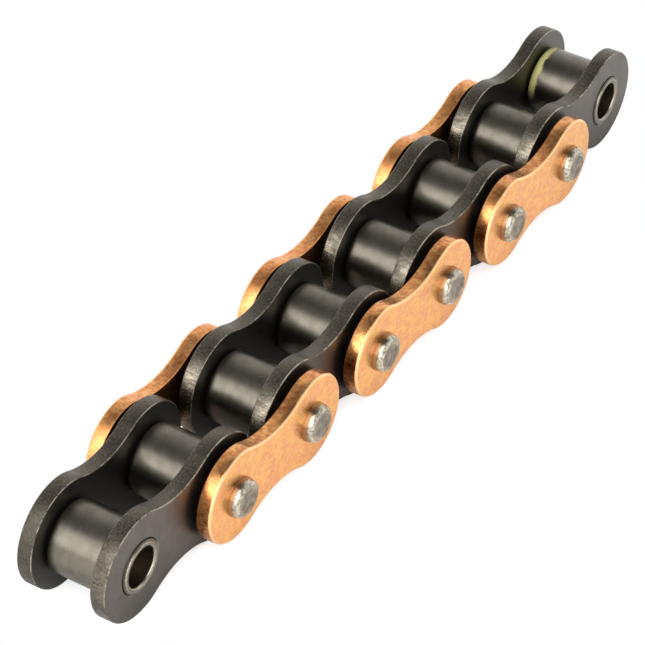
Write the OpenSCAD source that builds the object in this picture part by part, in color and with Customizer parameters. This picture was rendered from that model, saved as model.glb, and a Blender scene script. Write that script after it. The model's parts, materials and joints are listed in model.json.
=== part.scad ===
// Strip of roller chain for a small motorcycle, laid straight.
// X runs along the chain, Y along its pins and Z up. The origin is the middle of the strip.
// Every plate, bush, roller and pin is a solid of its own. Front is the -Y side.

/* [Chain] */
// Distance between neighbouring pins
pitch = 12.7; // [12.7:0.1:15.9]
// Inner links in the strip, with an outer link between each pair
inner_links = 4; // [2:1:6]
// Clear width between the two plates of an inner link
inner_width = 6.4; // [6.2:0.1:9]

/* [Plates] */
// Thickness of every plate
plate_t = 1.6; // [1.2:0.1:2.2]
// Radius of an inner plate's round ends
inner_end_r = 5.55; // [5.2:0.05:5.9]
// Half of an inner plate's height at its waist
inner_waist = 4.05; // [3.6:0.05:4.4]
// Radius of an outer plate's round ends
outer_end_r = 4.85; // [4.6:0.05:5.1]
// Half of an outer plate's height at its waist
outer_waist = 3.35; // [3:0.05:3.8]
// Gap between an inner plate and the outer plate beside it
plate_gap = 0.64; // [0.5:0.02:1]
// Rounding that the punch leaves round an inner plate's outer face
inner_roll = 0.15; // [0.1:0.05:0.4]
// The same round an outer plate's outer face
outer_roll = 0.35; // [0.1:0.05:0.5]
// Broken edge round the inner face of every plate
rim_break = 0.12; // [0.05:0.01:0.2]

/* [Bushes and rollers] */
// Outside diameter of a bush
bush_d = 5.54; // [5.4:0.02:5.8]
// How far a bush stands out of each inner plate
bush_proud = 0.25; // [0.1:0.05:0.45]
// Diameter of a bush's bore
bush_bore = 4.05; // [4.03:0.01:4.1]
// Chamfer at each mouth of a bush's bore
bush_mouth = 0.3; // [0.1:0.05:0.35]
// Outside diameter of a roller
roller_d = 7.4; // [7.2:0.05:7.8]
// Length of a roller
roller_w = 6.0; // [4.6:0.1:6]
// Rounding of a roller's outer corners
roller_round = 0.35; // [0.1:0.05:0.4]

/* [Pins] */
// Diameter of a pin's shank
pin_d = 3.97; // [3.9:0.01:3.99]
// How far a riveted pin stands out of each outer plate
pin_proud = 1.05; // [0.8:0.05:1.2]
// Diameter of a pin's end where riveting has spread it
rivet_d = 4.04; // [4:0.02:4.3]
// Rounding of a pin's riveted end
rivet_round = 0.5; // [0.2:0.05:0.6]
// Diameter of the shallow dish that the riveting tool leaves in a pin's end
dish_d = 2.6; // [1.5:0.1:2.6]

/* [Hidden] */
$fn = 96;
fit_gap = 0.04;       // radial clearance between a roller and its bush
corner_break = 0.1;   // small broken edge on bores and on the ends of a bush
dish_depth = 0.06;    // depth of the dish in a pin's end, and the width of its slope
blend = 0.015;        // how far an end circle and a waist arc run into each other
cut = 1;              // extra length of a cutting solid
outer_links = inner_links - 1;
joint_count = 2 * inner_links;
inner_face = inner_width / 2;
inner_back = inner_face + plate_t;
outer_face = inner_back + plate_gap;
outer_back = outer_face + plate_t;
bush_end = inner_back + bush_proud;
pin_end = outer_back + pin_proud;

SIDES = ["front", "rear"];

// Place of a joint along the chain, the first being number 1
function joint_x(number) = (number - (joint_count + 1) / 2) * pitch;

// Points of a quarter round, as [distance in from the side, height], rising to a top face
function rounded(radius, top) =
    [for (a = [0:30:90]) [radius * (1 - cos(a)), top - radius * (1 - sin(a))]];

// Edge of a plate from its inner face up to its outer one
function plate_edge(roll) = concat([[rim_break, 0], [0, rim_break]], rounded(roll, plate_t));

// Outline of a turned piece that is alike at both ends, from the half with heights above 0
function both_ends(half) =
    concat([for (i = [len(half) - 1:-1:0]) [half[i].x, -half[i].y]], half);

// Radius of the waist arc that meets an end circle
function waist_r(end_r, waist) =
    (pow(waist, 2) + pow(pitch / 2, 2) - pow(end_r - blend, 2)) / (2 * (end_r - blend - waist));

// Turns a solid that stands along Z so that it lies along Y
module along_y() rotate([-90, 0, 0]) children();

// Keeps a plate or fitting that is made on the +Y side there, or mirrors it to the front
module on_side(side) mirror([0, side == "front" ? 1 : 0, 0]) children();

// Round end of a plate
module end_disc(end_r, roll)
    along_y() rotate_extrude()
        polygon(concat([[0, 0]], [for (p = plate_edge(roll)) [end_r - p.x, p.y]], [[0, plate_t]]));

// Solid that cuts the waist's hollow, with the same edge as the plate's ends
module waist_cutter(radius, roll)
    along_y() rotate_extrude()
        polygon(concat(
            [[0, -cut], [radius + rim_break, -cut]],
            [for (p = plate_edge(roll)) [radius + p.x, p.y]],
            [[radius + roll, plate_t + cut], [0, plate_t + cut]]));

// Bore through a plate, with a small chamfer on the outer face
module plate_bore(radius)
    along_y() {
        translate([0, 0, -cut]) cylinder(r = radius, h = plate_t + 2 * cut);
        translate([0, 0, plate_t - corner_break])
            cylinder(r1 = radius, r2 = radius + corner_break + cut, h = corner_break + cut);
    }

// Figure-of-eight link plate between two joints, its inner face at Y = 0
module link_plate(end_r, waist, bore_r, roll) {
    arc_r = waist_r(end_r, waist);
    arc_z = waist + arc_r;
    reach = sqrt(pow(pitch / 2, 2) + pow(arc_z, 2));
    web_x = (end_r - roll / 2) * (pitch / 2) / reach;
    difference() {
        union() {
            for (x = [0, pitch]) translate([x, 0, 0]) end_disc(end_r, roll);
            translate([web_x, 0, -end_r]) cube([pitch - 2 * web_x, plate_t, 2 * end_r]);
        }
        for (z = [-arc_z, arc_z]) translate([pitch / 2, 0, z]) waist_cutter(arc_r, roll);
        for (x = [0, pitch]) translate([x, 0, 0]) plate_bore(bore_r);
    }
}

// Inner plate of inner link k
module inner_plate(k, side)
    color([0.36, 0.34, 0.32]) on_side(side)
        translate([joint_x(2 * k - 1), inner_face, 0])
            link_plate(inner_end_r, inner_waist, bush_d / 2, inner_roll);

// Outer plate of outer link k
module outer_plate(k, side)
    color([0.86, 0.6, 0.36]) on_side(side)
        translate([joint_x(2 * k), outer_face, 0])
            link_plate(outer_end_r, outer_waist, pin_d / 2, outer_roll);

// Tube that joins the two plates of an inner link and carries a roller
module bush(number)
    color([0.5, 0.48, 0.44]) translate([joint_x(number), 0, 0]) along_y() rotate_extrude()
        polygon(both_ends([
            [bush_d / 2, bush_end - corner_break], [bush_d / 2 - corner_break, bush_end],
            [bush_bore / 2 + bush_mouth, bush_end], [bush_bore / 2, bush_end - bush_mouth]]));

// Roller that turns on a bush
module roller(number)
    color([0.42, 0.41, 0.39]) translate([joint_x(number), 0, 0]) along_y() rotate_extrude()
        polygon(both_ends(concat(
            [for (p = rounded(roller_round, roller_w / 2)) [roller_d / 2 - p.x, p.y]],
            [[bush_d / 2 + fit_gap, roller_w / 2]])));

// Solid pin with both ends riveted over the outer plates
module pin(number)
    color([0.6, 0.59, 0.57]) translate([joint_x(number + 1), 0, 0]) along_y() rotate_extrude()
        polygon(both_ends(concat(
            [[pin_d / 2, outer_back], [rivet_d / 2, outer_back]],
            [for (p = rounded(rivet_round, pin_end)) [rivet_d / 2 - p.x, p.y]],
            [[dish_d / 2, pin_end], [dish_d / 2 - dish_depth, pin_end - dish_depth],
             [0, pin_end - dish_depth]])));

for (k = [1:inner_links], side = SIDES)
    inner_plate(k, side);
for (k = [1:outer_links], side = SIDES)
    outer_plate(k, side);
for (k = [1:joint_count])
    bush(k);
for (k = [1:joint_count])
    roller(k);
for (k = [1:2 * outer_links])
    pin(k);
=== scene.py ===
"""Looks of the chain strip: machined and stamped steel pieces, studio light and the photograph's camera.

Lengths are in metres unless a name says otherwise. X runs along the chain, Y along its pins.
"""
import json
import math
import random

import bmesh
import bpy
from mathutils import Matrix, Vector, noise

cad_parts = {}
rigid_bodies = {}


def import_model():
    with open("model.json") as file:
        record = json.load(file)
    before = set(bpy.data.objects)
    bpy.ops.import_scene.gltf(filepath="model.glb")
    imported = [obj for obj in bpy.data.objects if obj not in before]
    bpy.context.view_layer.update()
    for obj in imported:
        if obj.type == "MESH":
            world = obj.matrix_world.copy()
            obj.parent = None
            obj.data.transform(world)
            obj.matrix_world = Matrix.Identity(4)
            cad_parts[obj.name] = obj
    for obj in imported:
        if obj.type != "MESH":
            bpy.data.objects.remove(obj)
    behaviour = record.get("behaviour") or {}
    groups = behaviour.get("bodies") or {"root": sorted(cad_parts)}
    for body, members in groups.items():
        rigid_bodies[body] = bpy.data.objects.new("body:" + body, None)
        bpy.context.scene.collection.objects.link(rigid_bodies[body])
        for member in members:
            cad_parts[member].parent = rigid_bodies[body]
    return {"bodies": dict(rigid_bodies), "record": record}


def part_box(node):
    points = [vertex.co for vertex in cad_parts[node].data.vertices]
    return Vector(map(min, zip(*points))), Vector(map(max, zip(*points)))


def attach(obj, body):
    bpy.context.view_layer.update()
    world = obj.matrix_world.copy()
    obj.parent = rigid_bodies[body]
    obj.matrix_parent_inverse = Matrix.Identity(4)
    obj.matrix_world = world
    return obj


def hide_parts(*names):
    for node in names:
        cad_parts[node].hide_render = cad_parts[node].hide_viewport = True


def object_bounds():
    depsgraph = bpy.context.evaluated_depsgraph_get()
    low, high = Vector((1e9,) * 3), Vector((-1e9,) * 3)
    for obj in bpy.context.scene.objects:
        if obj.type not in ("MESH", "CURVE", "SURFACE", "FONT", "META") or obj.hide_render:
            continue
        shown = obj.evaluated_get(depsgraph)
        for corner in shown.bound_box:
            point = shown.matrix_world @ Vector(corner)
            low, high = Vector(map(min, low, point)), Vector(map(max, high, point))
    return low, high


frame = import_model()
cad_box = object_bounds()

MM = 0.001
WHITE = (1, 1, 1)
MOUNTS = {mount["name"]: mount for mount in frame["record"]["mounts"]}


def box_size(node):
    low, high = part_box(node)
    return high - low


def box_middle(node):
    low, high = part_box(node)
    return (low + high) / 2


def joint_x(number):
    """Place of a joint along the chain, the first being number 1."""
    return box_middle(f"bush_{number}").x


def plate_span(node):
    """How far from the chain's middle plane a plate's inner and outer faces lie."""
    low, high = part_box(node)
    return sorted((abs(low.y), abs(high.y)))


# Driving sizes, read from the frame
INNER_LINKS = sum(name.startswith("inner_link_") for name in frame["bodies"])
OUTER_LINKS = INNER_LINKS - 1
SIDES = {"front": -1, "rear": 1}
PITCH = joint_x(2) - joint_x(1)
BUSH_R = box_size("bush_1").z / 2
BUSH_END = box_size("bush_1").y / 2
BORE_R = MOUNTS["bush_bore_start"]["dims"]["r_mm"] * MM
ROLLER_R = box_size("roller_1").z / 2
ROLLER_END = box_size("roller_1").y / 2
OUTER_BACK = plate_span("outer_plate_1_front")[1]
RIVET_R = box_size("pin_1").z / 2
PIN_END = box_size("pin_1").y / 2
FLOOR_Z = cad_box[0][2]

# Edges of the plates. A margin is a narrow ring of flat face beside a rounded edge, which keeps the
# shading of the face flat.
RIM_BREAK = 0.12 * MM
BORE_BREAK = 0.03 * MM
MARGIN = 0.05 * MM
ROLLED_MARGIN = 0.08 * MM

# Bushes and rollers
CORNER_BREAK = 0.1 * MM
BUSH_MOUTH = 0.3 * MM
BUSH_LIP = 0.15 * MM
LIP_SLOPE = 0.22 * MM
ROLLER_ROUND = 0.38 * MM
ROLLER_GAP = 0.04 * MM

# Pins. The groove and the dish's edge are points on the riveted face, as how far in from the shoulder or
# from the dish's radius they lie, and how deep.
PIN_R = 1.985 * MM
RIVET_TAPER = 0.03 * MM
RIVET_FOOT = 0.14 * MM
RIVET_ROUND_W = 0.54 * MM
RIVET_ROUND_H = 0.74 * MM
GROOVE_MM = ((0.04, 0.01), (0.09, 0.03), (0.14, 0))
DISH_R = 1.3 * MM
DISH_DEPTH = 0.06 * MM
DISH_EDGE_MM = ((-0.04, 0), (0, 0.01), (0.12, DISH_DEPTH / MM))
DISH_SHIFT = 0.1 * MM
WALL_DENTS = 0.02 * MM
FACE_DENTS = 0.03 * MM

# Two kinds of link plate. waist is half the height there, and roll is the round of the outer face's rim.
INNER_PLATE = {"span": plate_span("inner_plate_1_front"), "end_r": box_size("inner_plate_1_front").z / 2,
               "waist": 4.05 * MM, "bore_r": BUSH_R, "roll": 0.16 * MM, "chamfer": 0.12 * MM}
OUTER_PLATE = {"span": plate_span("outer_plate_1_front"), "end_r": box_size("outer_plate_1_front").z / 2,
               "waist": 3.35 * MM, "bore_r": PIN_R, "roll": 0.35 * MM, "chamfer": 0.04 * MM}

# How finely the pieces are drawn
SHARP_ANGLE = 32
END_STEPS = 72
WAIST_STEPS = 28
BORE_STEPS = 96

# Camera, fitted to the photograph
VIEW_AZIMUTH = -58.94
VIEW_ELEVATION = 38.4
VIEW_ROLL = 1.57
VIEW_DISTANCE = 22.874 * PITCH
VIEW_TARGET = Vector((-0.4875 * PITCH, 0, 0.031 * PITCH))
FOCAL_PIXELS = 2951.2
IMAGE_PIXELS = 645
SENSOR_MM = 36.0

# Room: its level by height, from the horizon to the zenith, and how much brighter it is on the front side,
# between two values of the direction's Y
ROOM_LEVELS = ((0.0, 1.1), (0.3, 1.02), (0.5, 0.94), (0.66, 0.8), (0.8, 0.52), (0.9, 0.16), (1.0, 0.12))
FRONT_LEVEL = 1.1
FRONT_START = 0.15
FRONT_FULL = -0.6

# Floor: how much it adds where the camera sees it and where steel mirrors it, and how far from the chain
# that mirrored part has grown to its full level
FLOOR_SIZE = 6
FLOOR_COLOUR = (0.88, 0.88, 0.88)
SEEN_LIFT = 0.6
MIRRORED_LIFT = 0.36
MIRRORED_FADE_MM = 5.0

# When the camera sees the floor. Something within SHADE_REACH above shades it, and over something within
# LOOK_BELOW under it the camera looks through. The shares say how much of that space is empty.
SHADE_REACH = 4 * MM
SHADED = 0.8
UNSHADED = 0.98
LOOK_BELOW = 30 * MM
EMPTY_BELOW = 0.98
FILLED_BELOW = 0.9
OPENNESS_SAMPLES = 16


def finish_mesh(name, bm):
    """Turns a bmesh into an object with smooth rounds and crisp corners."""
    bmesh.ops.recalc_face_normals(bm, faces=bm.faces)
    mesh = bpy.data.meshes.new(name)
    bm.to_mesh(mesh)
    bm.free()
    for face in mesh.polygons:
        face.use_smooth = True
    mesh.set_sharp_from_angle(angle=math.radians(SHARP_ANGLE))
    piece = bpy.data.objects.new(name, mesh)
    bpy.context.scene.collection.objects.link(piece)
    return piece


def dress(piece, node, body, slot, material=None):
    """Puts a piece in a CAD node's place, on that node's body, in its slot's material or another one."""
    piece.data.materials.append(material or MATERIALS[slot])
    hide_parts(node)
    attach(piece, body)


def quarter(width, height, steps):
    """Quarter round as (distance in from the side, height left to the face), from side to face."""
    turns = [math.radians(90 * i / steps) for i in range(steps + 1)]
    return [(width * (1 - math.cos(a)), height * (1 - math.sin(a))) for a in turns]


def reversed_quarter(width, height, steps):
    """The same quarter round, but from the face down to the side."""
    return list(reversed(quarter(width, height, steps)))


def bridge(bm, lower, upper):
    """Quads between two closed rings of the same length."""
    count = len(lower)
    for i in range(count):
        j = (i + 1) % count
        bm.faces.new((lower[i], lower[j], upper[j], upper[i]))


# Turned pieces

def lathe(name, outline, x, segments=128, closed=True, dent=None):
    """Turns an outline of (radius, y) points about a joint's axis.

    A closed outline makes a ring. An open one starts and ends on the axis. dent(angle, point) gives
    how far a point lies out of its place along the radius and along Y.
    """
    bm = bmesh.new()
    rings = []
    for radius, y in outline:
        if radius == 0:
            rings.append([bm.verts.new((x, y, 0))])
            continue
        ring = []
        for i in range(segments):
            angle = 2 * math.pi * i / segments
            out, along = dent(angle, (radius, y)) if dent else (0, 0)
            r = radius + out
            ring.append(bm.verts.new((x + r * math.cos(angle), y + along, r * math.sin(angle))))
        rings.append(ring)
    pairs = list(zip(rings, rings[1:]))
    if closed:
        pairs.append((rings[-1], rings[0]))
    for a, b in pairs:
        if len(a) == 1 or len(b) == 1:
            tip, ring = (a[0], b) if len(a) == 1 else (b[0], a)
            for i in range(len(ring)):
                bm.faces.new((tip, ring[i], ring[(i + 1) % len(ring)]))
        else:
            bridge(bm, a, b)
    return finish_mesh(name, bm)


def both_ends(half):
    """Outline of a turned piece that is alike at both ends, from its half with y above 0."""
    return [(r, -y) for r, y in reversed(half)] + half


def bush(number):
    """Tube with a broken outer corner and a rounded, polished mouth."""
    face = BUSH_END - BUSH_LIP
    half = [(BUSH_R, 0.5 * BUSH_END), (BUSH_R, face - 1.5 * CORNER_BREAK)]
    half += [(BUSH_R - w, face - h) for w, h in quarter(CORNER_BREAK, CORNER_BREAK, 4)]
    lip = BORE_R + BUSH_MOUTH
    half += [(lip + LIP_SLOPE - w, BUSH_END - h) for w, h in quarter(LIP_SLOPE, BUSH_LIP, 5)]
    half += [(BORE_R + w, BUSH_END - h) for w, h in reversed_quarter(BUSH_MOUTH, BUSH_MOUTH, 6)]
    half += [(BORE_R, BUSH_END - 1.4 * BUSH_MOUTH)]
    return lathe(f"turned_bush_{number}", both_ends(half), joint_x(number))


def roller(number):
    """Ring with rounded outer corners that blend into its side over a short, gentle curve."""
    bore_r = BUSH_R + ROLLER_GAP
    half = [(ROLLER_R, 0.4 * ROLLER_END), (ROLLER_R, 0.75 * ROLLER_END)]
    half += [(ROLLER_R - w, ROLLER_END - h) for w, h in quarter(ROLLER_ROUND, 1.3 * ROLLER_ROUND, 9)]
    half += [(bore_r + CORNER_BREAK, ROLLER_END), (bore_r, ROLLER_END - CORNER_BREAK)]
    return lathe(f"turned_roller_{number}", both_ends(half), joint_x(number), segments=160)


def pin(number):
    """Solid pin whose ends are spread by riveting, with a dish that the tool has pressed off centre."""
    rng = random.Random(number)
    seed = rng.uniform(0, 100)
    lean = rng.uniform(0, 2 * math.pi)
    wall_r = RIVET_R - RIVET_TAPER
    shoulder = wall_r - RIVET_ROUND_W
    dish_floor = PIN_END - DISH_DEPTH
    half = [(PIN_R, 0.5 * OUTER_BACK), (PIN_R, OUTER_BACK)]
    half += [(RIVET_R - RIVET_TAPER, OUTER_BACK), (RIVET_R, OUTER_BACK + RIVET_FOOT)]
    half += [(wall_r - w, PIN_END - h) for w, h in quarter(RIVET_ROUND_W, RIVET_ROUND_H, 14)]
    half += [(shoulder - inward * MM, PIN_END - depth * MM) for inward, depth in GROOVE_MM]
    half += [(DISH_R - inward * MM, PIN_END - depth * MM) for inward, depth in DISH_EDGE_MM]
    half += [(0.5 * DISH_R, dish_floor), (0, dish_floor)]

    def dent(angle, point):
        """Uneven wall and face where the riveting tool has pressed the metal, different at each end."""
        radius, y = point
        if abs(y) < OUTER_BACK + 0.5 * RIVET_FOOT:
            return 0, 0
        other_end = 7 if y > 0 else 0
        place = Vector((math.cos(angle), math.sin(angle), seed + other_end))
        rough = noise.noise(place * 1.6) + 0.4 * noise.noise(place * 4.7)
        if radius > shoulder:
            return WALL_DENTS * (rough - 0.5), 0
        shift = DISH_SHIFT * math.cos(angle - lean) * radius / shoulder
        return shift, -math.copysign(FACE_DENTS * abs(rough), y)

    return lathe(f"riveted_pin_{number}", both_ends(half), joint_x(number + 1), segments=96,
                 closed=False, dent=dent)


# Link plates

def plate_outline(end_r, waist, inset):
    """Figure-of-eight outline between joints at x = 0 and x = PITCH, moved in by inset."""
    arc_r = (waist ** 2 + (PITCH / 2) ** 2 - end_r ** 2) / (2 * (end_r - waist))
    arc_z = waist + arc_r
    meet = math.atan2(arc_z, PITCH / 2)
    points = []

    def arc(centre_x, centre_z, radius, start, stop, steps):
        for i in range(steps):
            a = start + (stop - start) * i / steps
            points.append((centre_x + radius * math.cos(a), centre_z + radius * math.sin(a)))

    arc(0, 0, end_r - inset, meet, 2 * math.pi - meet, END_STEPS)
    arc(PITCH / 2, -arc_z, arc_r + inset, math.pi - meet, meet, WAIST_STEPS)
    arc(PITCH, 0, end_r - inset, meet - math.pi, math.pi - meet, END_STEPS)
    arc(PITCH / 2, arc_z, arc_r + inset, -meet, meet - math.pi, WAIST_STEPS)
    return points


def circle(x, radius):
    turns = [2 * math.pi * i / BORE_STEPS for i in range(BORE_STEPS)]
    return [(x + radius * math.cos(a), radius * math.sin(a)) for a in turns]


def link_plate(name, x, side, span, end_r, waist, bore_r, roll, chamfer):
    """Stamped plate: rolled rim on the outer face, broken edge on the inner one, two bores."""
    bm = bmesh.new()
    inner, outer = span

    def ring(points, y):
        return [bm.verts.new((x + px, side * y, pz)) for px, pz in points]

    edge = [(RIM_BREAK + MARGIN, inner)]
    edge += [(w, inner + h) for w, h in reversed_quarter(RIM_BREAK, RIM_BREAK, 3)]
    edge += [(w, outer - h) for w, h in quarter(roll, 0.9 * roll, 7)]
    edge += [(roll + ROLLED_MARGIN, outer)]
    rings = [ring(plate_outline(end_r, waist, inset), y) for inset, y in edge]
    for lower, upper in zip(rings, rings[1:]):
        bridge(bm, lower, upper)

    rims = {inner: [rings[0]], outer: [rings[-1]]}
    for joint in (0, PITCH):
        bore = [(bore_r + chamfer + MARGIN, inner), (bore_r + BORE_BREAK, inner)]
        bore += [(bore_r, inner + BORE_BREAK), (bore_r, outer - chamfer)]
        bore += [(bore_r + chamfer, outer), (bore_r + chamfer + MARGIN, outer)]
        walls = [ring(circle(joint, r), y) for r, y in bore]
        for lower, upper in zip(walls, walls[1:]):
            bridge(bm, lower, upper)
        rims[inner].append(walls[0])
        rims[outer].append(walls[-1])
    for loops in rims.values():
        edges = [bm.edges.get((loop[i - 1], loop[i])) for loop in loops for i in range(len(loop))]
        bmesh.ops.triangle_fill(bm, edges=edges, use_beauty=True)
    return finish_mesh(name, bm)


# Materials

class Nodes:
    """Short way to write the nodes of a material or a world."""

    def __init__(self, owner, shader="Principled BSDF"):
        owner.use_nodes = True
        self.tree = owner.node_tree
        self.shader = self.tree.nodes[shader]

    def add(self, kind, inputs=None, **settings):
        node = self.tree.nodes.new(kind)
        for key, value in settings.items():
            setattr(node, key, value)
        for key, value in (inputs or {}).items():
            self.put(value, node.inputs[key])
        return node

    def put(self, value, socket):
        if isinstance(value, bpy.types.NodeSocket):
            self.tree.links.new(value, socket)
        else:
            socket.default_value = value

    def shade(self, **inputs):
        """Sets the shader's inputs, named with _ for a space."""
        for name, value in inputs.items():
            self.put(value, self.shader.inputs[name.replace("_", " ")])

    def math(self, operation, *values, clamp=False):
        inputs = dict(enumerate(values))
        return self.add("ShaderNodeMath", inputs, operation=operation, use_clamp=clamp).outputs[0]

    def times(self, a, b, clamp=False):
        return self.math("MULTIPLY", a, b, clamp=clamp)

    def swing(self, value, size):
        """Turns a value from 0 to 1 into one that swings about 0, over this size in all."""
        return self.times(self.math("SUBTRACT", value, 0.5), size)

    def parts(self, vector):
        """X, Y and Z of a vector, by name."""
        return self.add("ShaderNodeSeparateXYZ", {0: vector}).outputs

    def place(self, scale=(1, 1, 1)):
        """Object coordinates in millimetres, stretched by scale."""
        coordinates = self.add("ShaderNodeTexCoord").outputs["Object"]
        stretched = tuple(1 / MM * s for s in scale)
        return self.add("ShaderNodeMapping", {"Vector": coordinates, "Scale": stretched}).outputs[0]

    def normal(self):
        """Parts of the surface's own direction."""
        return self.parts(self.add("ShaderNodeTexCoord").outputs["Normal"])

    def noise(self, vector, scale, detail=3, roughness=0.55):
        inputs = {"Vector": vector, "Scale": scale, "Detail": detail, "Roughness": roughness}
        return self.add("ShaderNodeTexNoise", inputs).outputs[0]

    def ramp(self, value, low, high, low_out=0.0, high_out=1.0):
        """Smooth step between two outputs as a value goes from low to high, which may be the smaller."""
        inputs = {"Value": value, "From Min": low, "From Max": high, "To Min": low_out, "To Max": high_out}
        return self.add("ShaderNodeMapRange", inputs, interpolation_type="SMOOTHSTEP").outputs[0]

    def mix(self, factor, a, b):
        """Colour between two colours."""
        node = self.add("ShaderNodeMix", data_type="RGBA")
        self.put(factor, node.inputs["Factor"])
        for value, socket in ((a, node.inputs[6]), (b, node.inputs[7])):
            self.put(value if isinstance(value, bpy.types.NodeSocket) else (*value, 1), socket)
        return node.outputs[2]

    def mixed(self, factor, base, low, high):
        """A colour between two brightnesses of the same base."""
        return self.mix(factor, [c * low for c in base], [c * high for c in base])

    def facing(self):
        """How squarely a surface faces along Y, from 0 to 1."""
        return self.math("ABSOLUTE", self.normal()["Y"])

    def end_on(self):
        """How squarely a surface faces along the chain, from 0 to 1."""
        return self.math("ABSOLUTE", self.normal()["X"])

    def outward(self):
        """A flat face's distance from the chain's middle in millimetres, below 0 if it looks in."""
        place = self.parts(self.add("ShaderNodeTexCoord").outputs["Object"])
        return self.times(self.times(self.normal()["Y"], place["Y"]), 1 / MM)

    def radius(self):
        """Distance from the nearest joint's axis, in millimetres."""
        place = self.parts(self.place())
        step = PITCH / MM
        along = self.math("SUBTRACT", place["X"], joint_x(1) / MM)
        nearest = self.times(self.math("ROUND", self.math("DIVIDE", along, step)), step)
        across = self.math("POWER", self.math("SUBTRACT", along, nearest), 2)
        return self.math("SQRT", self.math("ADD", across, self.math("POWER", place["Z"], 2)))

    def bump(self, height, distance, strength):
        inputs = {"Height": height, "Distance": distance, "Strength": strength}
        return self.add("ShaderNodeBump", inputs).outputs[0]


def dark_plate_steel():
    """Oxide-dark stamped steel: satin faces, speckled edges, bright sheared ends, worn rims."""
    open_face = (0.117, 0.103, 0.091)
    open_face_speckle = (0.18, 0.155, 0.135)
    # Painted shade for the outer faces between the gold plates
    shaded_middle_face = (0.079, 0.071, 0.059)
    inner_face = (0.108, 0.102, 0.088)
    edge = (0.145, 0.127, 0.10)
    edge_streak = (0.075, 0.065, 0.05)
    near_end_edge = (0.045, 0.040, 0.033)
    used_end = (0.30, 0.26, 0.20)
    worn_rim = (0.43, 0.385, 0.305)

    material = bpy.data.materials.new("dark_stamped_steel")
    n = Nodes(material)
    facing = n.facing()
    place = n.place()
    along = n.parts(place)["X"]
    across = n.parts(place)["Y"]
    speckle = n.noise(place, 6.0, detail=4, roughness=0.68)
    cloud = n.noise(place, 0.6, detail=3)
    shear = n.noise(n.place((1, 0.3, 1)), 5.0, detail=4, roughness=0.65)
    streak = n.noise(n.place((1, 0.18, 1)), 5.0, detail=4, roughness=0.62)
    patch = n.noise(place, 0.75, detail=4, roughness=0.6)

    # Faces. The outer ones are darker within 30 mm of the strip's middle, between two gold plates: painted
    # shade.
    outer = n.mixed(n.ramp(cloud, 0.35, 0.65), open_face, 0.9, 1.1)
    outer = n.mix(n.ramp(speckle, 0.3, 0.7, 0.0, 0.3), outer, open_face_speckle)
    outer = n.mix(n.ramp(n.math("ABSOLUTE", along), 40, 30, 0.0, 0.85), outer, shaded_middle_face)
    face_colour = n.mix(n.ramp(n.outward(), -1.5, 1.5), inner_face, outer)

    # Edges. The sheared ends are broken and bright, but hardly at the strip's near end, where the ends are
    # darker.
    start = joint_x(1) / MM
    past_near_end = n.ramp(n.math("SUBTRACT", along, across), start - 10, start + 12, 0.1, 1.0)
    at_end = n.ramp(n.end_on(), 0.45, 0.8)
    near_end = n.times(at_end, n.math("SUBTRACT", 1.0, past_near_end))
    ragged = n.math("ADD", n.noise(place, 0.5, detail=1), n.swing(streak, 0.35))
    broken = n.times(n.times(at_end, past_near_end), n.ramp(ragged, 0.28, 0.6), clamp=True)
    fleck = n.math("ADD", n.times(speckle, 0.5), n.times(streak, 0.5))
    edge_colour = n.mixed(n.ramp(speckle, 0.33, 0.68), edge, 0.55, 1.45)
    edge_colour = n.mix(n.ramp(shear, 0.36, 0.66, 0.0, 0.4), edge_colour, edge_streak)
    edge_colour = n.mix(n.times(near_end, 0.75), edge_colour, near_end_edge)
    broken_colour = n.mixed(n.ramp(fleck, 0.38, 0.62), used_end, 0.5, 1.5)
    edge_colour = n.mix(n.times(broken, 0.8), edge_colour, broken_colour)

    # Wear on the rims
    colour = n.mix(n.ramp(facing, 0.6, 0.95), edge_colour, face_colour)
    rim = n.times(n.ramp(facing, 0.2, 0.5), n.ramp(facing, 0.99, 0.85))
    wear = n.math("ADD", patch, n.times(speckle, 0.5))
    worn = n.times(rim, n.ramp(wear, 0.6, 0.88), clamp=True)
    rough = n.math("SUBTRACT", n.math("ADD", 0.4, n.swing(speckle, 0.25)), n.times(broken, 0.13))
    relief = n.times(n.math("ADD", speckle, n.times(shear, 0.5)), n.ramp(facing, 0.3, 0.8, 1.0, 0.15))
    n.shade(Base_Color=n.mix(worn, colour, worn_rim), Roughness=rough, Metallic=1.0,
            Normal=n.bump(relief, 0.018 * MM, 0.9))
    return material


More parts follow.
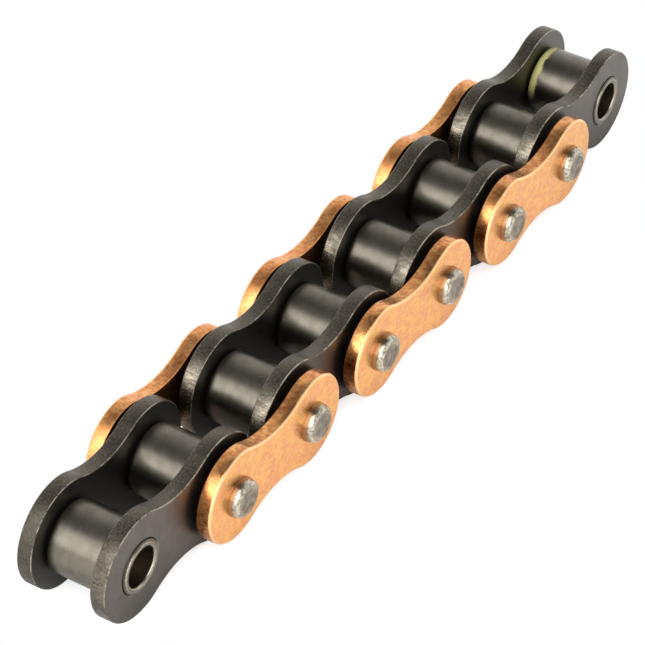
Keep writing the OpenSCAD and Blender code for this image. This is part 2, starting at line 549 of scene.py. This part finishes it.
def gold_plate_steel():
    """Copper-gold plating: mottled faces, a painted highlight on the rolled rims, streaked and tarnished
    edges.
    """
    red_face = (0.80, 0.35, 0.137)
    yellow_face = (0.86, 0.445, 0.128)
    dark_mottle = (0.71, 0.30, 0.105)
    light_mottle = (0.96, 0.54, 0.20)
    # Painted shade on the inner faces, which face the inner plates
    inner_face = (0.30, 0.13, 0.05)
    red_edge = (0.86, 0.335, 0.115)
    yellow_edge = (1.0, 0.52, 0.195)
    stained_edge = (0.90, 0.33, 0.11)
    front_tarnish = (0.50, 0.165, 0.06)
    lit_rear_tarnish = (0.60, 0.22, 0.08)
    dark_fleck = (0.30, 0.105, 0.04)
    painted_rim_highlight = (1.0, 0.66, 0.35)

    material = bpy.data.materials.new("gold_plated_steel")
    n = Nodes(material)
    facing = n.facing()
    outward = n.outward()
    up = n.normal()["Z"]
    place = n.place()
    rear = n.ramp(n.parts(place)["Y"], -1, 1)
    grain = n.noise(place, 7.0, detail=5, roughness=0.7)
    cloud = n.noise(place, 0.9, detail=5, roughness=0.65)
    mottle = n.noise(place, 2.6, detail=3, roughness=0.6)
    shear = n.noise(n.place((1, 0.35, 1)), 3.6, detail=4, roughness=0.55)
    specks = n.noise(n.place((1, 0.85, 1)), 2.0, detail=4, roughness=0.6)
    flecks = n.noise(n.place((1, 0.5, 1)), 5.0, detail=3, roughness=0.6)
    stain = n.noise(place, 0.55, detail=4, roughness=0.65)

    # Faces. The inner ones, which face the inner plates, are darker: painted shade.
    face_colour = n.mix(n.ramp(cloud, 0.4, 0.6), red_face, yellow_face)
    face_colour = n.mix(n.ramp(mottle, 0.36, 0.52, 0.28, 0.0), face_colour, dark_mottle)
    face_colour = n.mix(n.ramp(mottle, 0.5, 0.64, 0.0, 0.36), face_colour, light_mottle)
    face_colour = n.mix(n.ramp(outward, -1.5, 1.5), inner_face, face_colour)

    # Edges. Tarnish and flecks keep off the part that faces up at a slant, where the highlights fall: a
    # painted highlight.
    lit_slant = n.times(n.ramp(up, 0.24, 0.46), n.ramp(up, 0.94, 0.78))
    dull = n.math("SUBTRACT", n.ramp(stain, 0.3, 0.5), n.times(lit_slant, 0.8), clamp=True)
    # The rear plates' edges are less tarnished and their tarnish is lighter: partly painted light, as the
    # rear plates catch more light
    dull = n.times(dull, n.ramp(rear, 0, 1, 1.0, 0.9))
    speckled = n.ramp(specks, n.ramp(rear, 0, 1, 0.38, 0.46), 0.6)
    tarnish = n.times(speckled, dull, clamp=True)
    flecked = n.times(n.ramp(flecks, 0.52, 0.66), n.ramp(stain, 0.36, 0.52), clamp=True)
    flecked = n.times(flecked, n.math("SUBTRACT", 1.0, lit_slant))
    edge_colour = n.mix(n.ramp(shear, 0.3, 0.62), red_edge, yellow_edge)
    edge_colour = n.mix(n.ramp(stain, 0.5, 0.62, 0.0, 0.6), edge_colour, stained_edge)
    edge_colour = n.mix(n.times(tarnish, 0.75), edge_colour, n.mix(rear, front_tarnish, lit_rear_tarnish))
    edge_colour = n.mix(n.times(flecked, 0.55), edge_colour, dark_fleck)
    # Painted highlight: a lighter colour along the rolled rim of the outer face
    on_rim = n.times(n.ramp(facing, 0.15, 0.45), n.ramp(outward, -0.1, 0.1))
    edge_colour = n.mix(on_rim, edge_colour, painted_rim_highlight)

    rough = n.math("ADD", n.ramp(rear, 0, 1, 0.27, 0.35), n.swing(grain, 0.1))
    relief = n.times(n.math("ADD", shear, specks), n.ramp(facing, 0.1, 0.5, 1.0, 0.15))
    n.shade(Base_Color=n.mix(n.ramp(facing, 0.8, 0.97), edge_colour, face_colour), Roughness=rough,
            Metallic=1.0, Normal=n.bump(relief, 0.016 * MM, 0.9))
    return material


def roller_steel(name, marked=False):
    """Smooth dark steel with faint blotches. The marked one is yellow and not metallic on top of its far
    end.
    """
    steel = (0.185, 0.168, 0.135)
    light_grain = (0.27, 0.248, 0.205)
    yellow_mark = (0.60, 0.56, 0.22)

    material = bpy.data.materials.new(name)
    n = Nodes(material)
    place = n.place()
    cloud = n.noise(place, 0.9, detail=3)
    grain = n.noise(place, 5.0, detail=4, roughness=0.65)
    turned = n.noise(n.place((0.12, 1, 0.12)), 6.0, detail=4, roughness=0.7)
    colour = n.mixed(n.ramp(cloud, 0.3, 0.7), steel, 0.86, 1.1)
    colour = n.mix(n.ramp(grain, 0.45, 0.75, 0.0, 0.3), colour, light_grain)
    rough = 0.3
    metal = 1.0
    if marked:
        ragged = n.math("ADD", n.parts(place)["Y"], n.swing(cloud, 0.7))
        yellow_part = n.times(n.ramp(ragged, 1.95, 2.25), n.ramp(n.parts(place)["Z"], -1.0, 1.5))
        yellow_part = n.times(yellow_part, n.ramp(grain, 0.3, 0.5, 0.7, 1.0))
        colour = n.mix(yellow_part, colour, yellow_mark)
        rough = n.math("ADD", rough, n.times(yellow_part, 0.2))
        metal = n.math("SUBTRACT", 1.0, yellow_part)
    n.shade(Base_Color=colour, Roughness=rough, Metallic=metal, Normal=n.bump(turned, 0.003 * MM, 0.3))
    return material


def bush_steel():
    """Ground ends with painted shade on the outer corner, a polished round at the bore's mouth and a bright
    bore.
    """
    ground_end = (0.17, 0.155, 0.13)
    polished_mouth = (0.36, 0.325, 0.26)
    shaded_corner = (0.07, 0.062, 0.05)
    bright_bore = (0.42, 0.38, 0.30)
    corner_mm = BUSH_R / MM
    bore_mm = BORE_R / MM

    material = bpy.data.materials.new("ground_bush_steel")
    n = Nodes(material)
    facing = n.facing()
    radius = n.radius()
    grain = n.noise(n.place(), 5.0, detail=4, roughness=0.65)
    blotchy = n.ramp(grain, 0.3, 0.7)
    end_colour = n.mixed(blotchy, ground_end, 0.75, 1.25)
    mouth_colour = n.mixed(blotchy, polished_mouth, 0.6, 1.3)
    colour = n.mix(n.ramp(facing, 0.9, 0.99), mouth_colour, end_colour)
    # Painted shade at the outer corner, where the bush stands out of the plate
    colour = n.mix(n.ramp(radius, corner_mm - 0.16, corner_mm - 0.08), colour, shaded_corner)
    colour = n.mix(n.ramp(radius, bore_mm + 0.08, bore_mm), colour, bright_bore)
    n.shade(Base_Color=colour, Roughness=n.ramp(facing, 0.6, 0.98, 0.22, 0.34), Metallic=1.0,
            Normal=n.bump(grain, 0.015 * MM, 0.6))
    return material


def pin_steel():
    """Bare steel: burnished on the side and shoulder, dull and blotchy on the riveted face."""
    rim = (0.38, 0.347, 0.268)
    dish = (0.225, 0.19, 0.145)
    shoulder = (0.55, 0.495, 0.39)
    wall = (0.40, 0.32, 0.245)
    face_mm = PIN_END / MM
    dish_floor_mm = (PIN_END - DISH_DEPTH) / MM

    material = bpy.data.materials.new("riveted_pin_steel")
    n = Nodes(material)
    facing = n.facing()
    place = n.place()
    grain = n.noise(place, 6.0, detail=5, roughness=0.7)
    cloud = n.noise(place, 1.6, detail=4)
    blotch = n.noise(place, 2.8, detail=4, roughness=0.65)
    wavy = n.math("ADD", n.radius(), n.times(cloud, 0.5))
    ring_inputs = {"W": wavy, "Scale": 4.5, "Detail": 2}
    rings = n.add("ShaderNodeTexNoise", ring_inputs, noise_dimensions="1D").outputs[0]
    in_dish = n.ramp(n.outward(), face_mm - 0.02, dish_floor_mm)
    rim_colour = n.mixed(n.ramp(rings, 0.4, 0.62), rim, 0.5, 1.5)
    dish_colour = n.mixed(n.ramp(cloud, 0.34, 0.66), dish, 0.6, 1.3)
    side_colour = n.mixed(n.ramp(blotch, 0.36, 0.6), shoulder, 0.5, 1.2)
    side_colour = n.mix(n.ramp(facing, 0.22, 0.06), side_colour, wall)
    face_colour = n.mix(in_dish, rim_colour, dish_colour)
    rough = n.math("ADD", n.ramp(facing, 0.7, 0.99, 0.2, 0.32), n.swing(grain, 0.1))
    relief = n.math("ADD", n.math("ADD", grain, cloud), rings)
    relief = n.times(relief, n.ramp(facing, 0.6, 0.97, 0.35, 1.0))
    n.shade(Base_Color=n.mix(n.ramp(facing, 0.9, 0.995), side_colour, face_colour), Roughness=rough,
            Metallic=1.0, Normal=n.bump(relief, 0.022 * MM, 0.8))
    return material


MATERIALS = {
    "inner_plate_steel": dark_plate_steel(),
    "outer_plate_gold": gold_plate_steel(),
    "bush_steel": bush_steel(),
    "roller_steel": roller_steel("dark_roller_steel"),
    "pin_steel": pin_steel(),
}
MARKED_ROLLER = roller_steel("dark_roller_steel_marked", marked=True)


def build_chain():
    """Every piece of the chain, each in its CAD node's place."""
    for k in range(1, INNER_LINKS + 1):
        link = f"inner_link_{k}"
        for side, sign in SIDES.items():
            node = f"inner_plate_{k}_{side}"
            dress(link_plate(f"stamped_{node}", joint_x(2 * k - 1), sign, **INNER_PLATE), node, link,
                  "inner_plate_steel")
        for number in (2 * k - 1, 2 * k):
            dress(bush(number), f"bush_{number}", link, "bush_steel")
            steel = MARKED_ROLLER if number == 2 * INNER_LINKS else None
            dress(roller(number), f"roller_{number}", f"roller_{number}", "roller_steel", steel)
    for k in range(1, OUTER_LINKS + 1):
        link = f"outer_link_{k}"
        for side, sign in SIDES.items():
            node = f"outer_plate_{k}_{side}"
            dress(link_plate(f"stamped_{node}", joint_x(2 * k), sign, **OUTER_PLATE), node, link,
                  "outer_plate_gold")
        for number in (2 * k - 1, 2 * k):
            dress(pin(number), f"pin_{number}", link, "pin_steel")


# Camera, light and floor

def add_camera():
    """Camera at the place that was fitted to the photograph, turned by its small roll."""
    a, e, r = (math.radians(v) for v in (VIEW_AZIMUTH, VIEW_ELEVATION, VIEW_ROLL))
    back = Vector((math.sin(a) * math.cos(e), -math.cos(a) * math.cos(e), math.sin(e)))
    right = Vector((math.cos(a), math.sin(a), 0))
    up = back.cross(right)
    right, up = right * math.cos(r) + up * math.sin(r), up * math.cos(r) - right * math.sin(r)
    lens = bpy.data.cameras.new("camera")
    lens.sensor_width = SENSOR_MM
    lens.lens = FOCAL_PIXELS * SENSOR_MM / IMAGE_PIXELS
    lens.clip_start = 0.01
    camera = bpy.data.objects.new("camera", lens)
    camera.matrix_world = Matrix((right, up, back)).transposed().to_4x4()
    camera.location = VIEW_TARGET + back * VIEW_DISTANCE
    bpy.context.scene.collection.objects.link(camera)
    bpy.context.scene.camera = camera


def add_softbox(name, direction, distance, size, radiance):
    """Rectangular lamp that faces the middle of the chain, as bright as a surface of this radiance."""
    lamp = bpy.data.lights.new(name, "AREA")
    lamp.shape = "RECTANGLE"
    lamp.size, lamp.size_y = size
    lamp.energy = radiance * math.pi * size[0] * size[1]
    box = bpy.data.objects.new(name, lamp)
    place = Vector(direction).normalized() * distance
    box.location = place
    box.rotation_euler = place.to_track_quat("Z", "Y").to_euler()
    bpy.context.scene.collection.objects.link(box)


def openness(n, distance, **settings):
    """How much of the space above the floor, or below it with inside=True, is empty within a distance."""
    node = n.add("ShaderNodeAmbientOcclusion", {"Distance": distance}, samples=OPENNESS_SAMPLES, **settings)
    return node.outputs["AO"]


def add_floor():
    """Pale floor that the chain stands on, seen as white by the camera and in reflections.

    The camera sees it only where the chain shades it from close above. Elsewhere, and over a link that
    has swung below it, the camera looks through it, so that no pose hides a part of the chain.
    """
    bpy.ops.mesh.primitive_plane_add(size=FLOOR_SIZE, location=(0, 0, FLOOR_Z))
    floor = bpy.context.object
    floor.name = "floor"
    material = bpy.data.materials.new("pale_floor")
    n = Nodes(material)
    path = n.add("ShaderNodeLightPath").outputs
    place = n.parts(n.place())

    # Lift where the floor is seen, and in reflections away from the chain. Near the chain the mirrored lift
    # fades out: painted shade under and beside the chain.
    beyond_end = n.math("SUBTRACT", n.math("ABSOLUTE", place["X"]), cad_box[1][0] / MM)
    beyond_side = n.math("SUBTRACT", n.math("ABSOLUTE", place["Y"]), BUSH_END / MM)
    clear = n.ramp(n.math("MAXIMUM", beyond_end, beyond_side), 0.0, MIRRORED_FADE_MM)
    mirrored = n.times(n.math("MAXIMUM", path["Is Glossy Ray"], path["Is Transmission Ray"]), clear)
    seen = n.times(path["Is Camera Ray"], SEEN_LIFT)
    lift = n.math("ADD", n.times(mirrored, MIRRORED_LIFT), seen)
    n.shade(Base_Color=(*FLOOR_COLOUR, 1), Roughness=0.9, Emission_Color=(*WHITE, 1), Emission_Strength=lift)

    # Look through the floor where nothing is close above it, or something is below it
    unshaded = n.ramp(openness(n, SHADE_REACH), SHADED, UNSHADED)
    over_link = n.ramp(openness(n, LOOK_BELOW, inside=True), EMPTY_BELOW, FILLED_BELOW)
    unseen = n.times(path["Is Camera Ray"], n.math("MAXIMUM", unshaded, over_link))
    see_through = n.add("ShaderNodeBsdfTransparent").outputs[0]
    surface = n.add("ShaderNodeMixShader", {0: unseen, 1: n.shader.outputs[0], 2: see_through}).outputs[0]
    n.put(surface, n.tree.nodes["Material Output"].inputs["Surface"])
    floor.data.materials.append(material)


def light_world():
    """Pale room with a dark ceiling, brighter behind the front side. The camera sees it as white."""
    world = bpy.data.worlds.new("studio")
    bpy.context.scene.world = world
    n = Nodes(world, "Background")
    direction = n.parts(n.add("ShaderNodeTexCoord").outputs["Generated"])
    levels = n.add("ShaderNodeValToRGB", {"Fac": direction["Z"]})
    stops = levels.color_ramp.elements
    while len(stops) < len(ROOM_LEVELS):
        stops.new(1)
    for stop, (z, level) in zip(stops, ROOM_LEVELS):
        stop.position = z
        stop.color = (level, level, level, 1)
    seen = n.add("ShaderNodeLightPath").outputs["Is Camera Ray"]
    front = n.ramp(direction["Y"], FRONT_START, FRONT_FULL, 1.0, FRONT_LEVEL)
    n.shade(Color=n.mix(seen, levels.outputs[0], WHITE), Strength=n.ramp(seen, 0, 1, front, 1.0))


def light_scene():
    """A key lamp on the camera's left and a broad, soft one behind the camera."""
    add_softbox("key", direction=(-0.79, 0.29, 0.51), distance=0.6, size=(0.30, 0.53), radiance=2.0)
    add_softbox("front", direction=(-0.66, -0.34, 0.60), distance=0.6, size=(0.42, 0.80), radiance=1.8)


bpy.context.scene.view_settings.view_transform = "Standard"
build_chain()
add_camera()
add_floor()
light_world()
light_scene()
